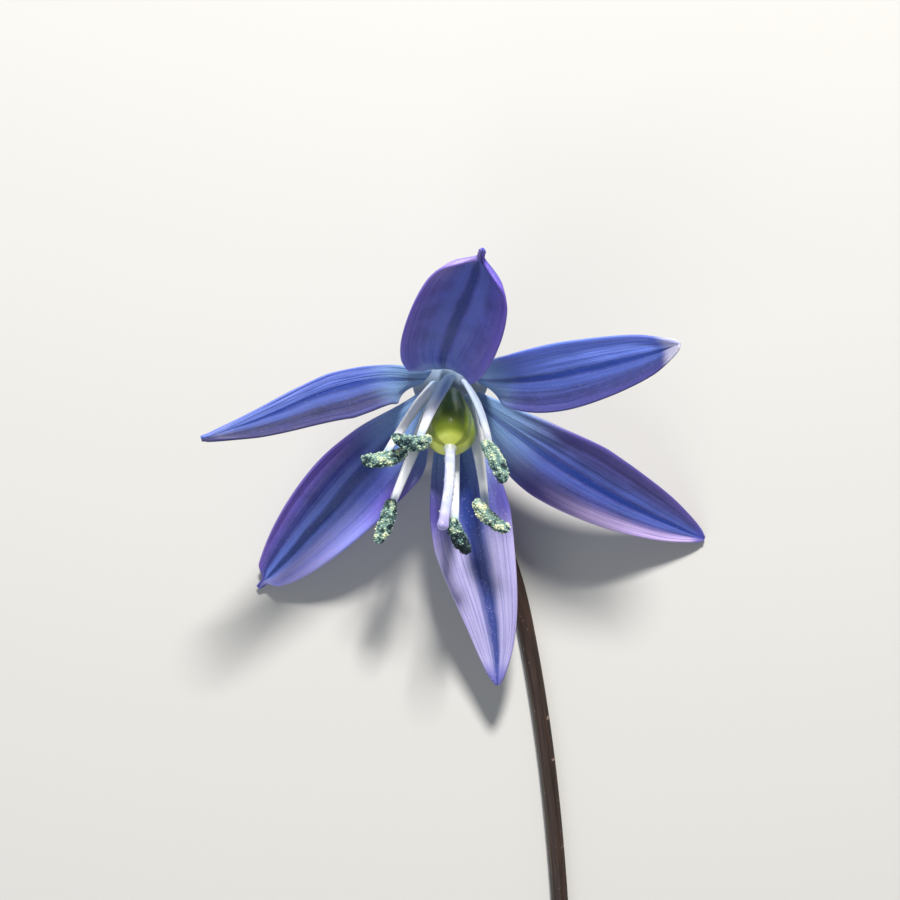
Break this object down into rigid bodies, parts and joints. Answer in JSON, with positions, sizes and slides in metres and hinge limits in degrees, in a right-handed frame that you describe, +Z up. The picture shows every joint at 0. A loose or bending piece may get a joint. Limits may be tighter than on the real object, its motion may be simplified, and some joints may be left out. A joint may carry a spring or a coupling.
{
  "type": "siberian squill",
  "caption": "Picked siberian squill flower: an open star of blue petals round stamens and a green ovary, lying face up on its dark cut stem.",
  "frame": {"origin": "on the flat underside of the stem, beside the flower, where the rest mount is", "axes": "+Z up from the surface; +X to the right of someone looking down on the flower; the stem runs away along -Y"},
  "size_m": [0.027, 0.0576, 0.018],
  "materials": {
    "stem_brown": "dark red-brown, faintly ribbed stalk",
    "petal_blue": "blue-violet petal with a dark blue midvein, pale base and fine sparkle",
    "filament_white": "white, faintly blue, waxy",
    "pollen_blue": "blue-grey anther covered in powdery pale green pollen",
    "ovary_green": "glossy yellow-green",
    "style_lilac": "pale lilac-blue, waxy"
  },
  "bodies": {
    "root": {"stem": "stem_brown", "petal_top": "petal_blue", "petal_right": "petal_blue", "petal_lower_right": "petal_blue", "petal_bottom": "petal_blue", "petal_lower_left": "petal_blue", "petal_left": "petal_blue", "filament_top": "filament_white", "filament_right": "filament_white", "filament_lower_right": "filament_white", "filament_bottom": "filament_white", "filament_lower_left": "filament_white", "filament_left": "filament_white", "anther_top": "pollen_blue", "anther_right": "pollen_blue", "anther_lower_right": "pollen_blue", "anther_bottom": "pollen_blue", "anther_lower_left": "pollen_blue", "anther_left": "pollen_blue", "ovary": "ovary_green", "style": "style_lilac"}
  },
  "joints": []
}
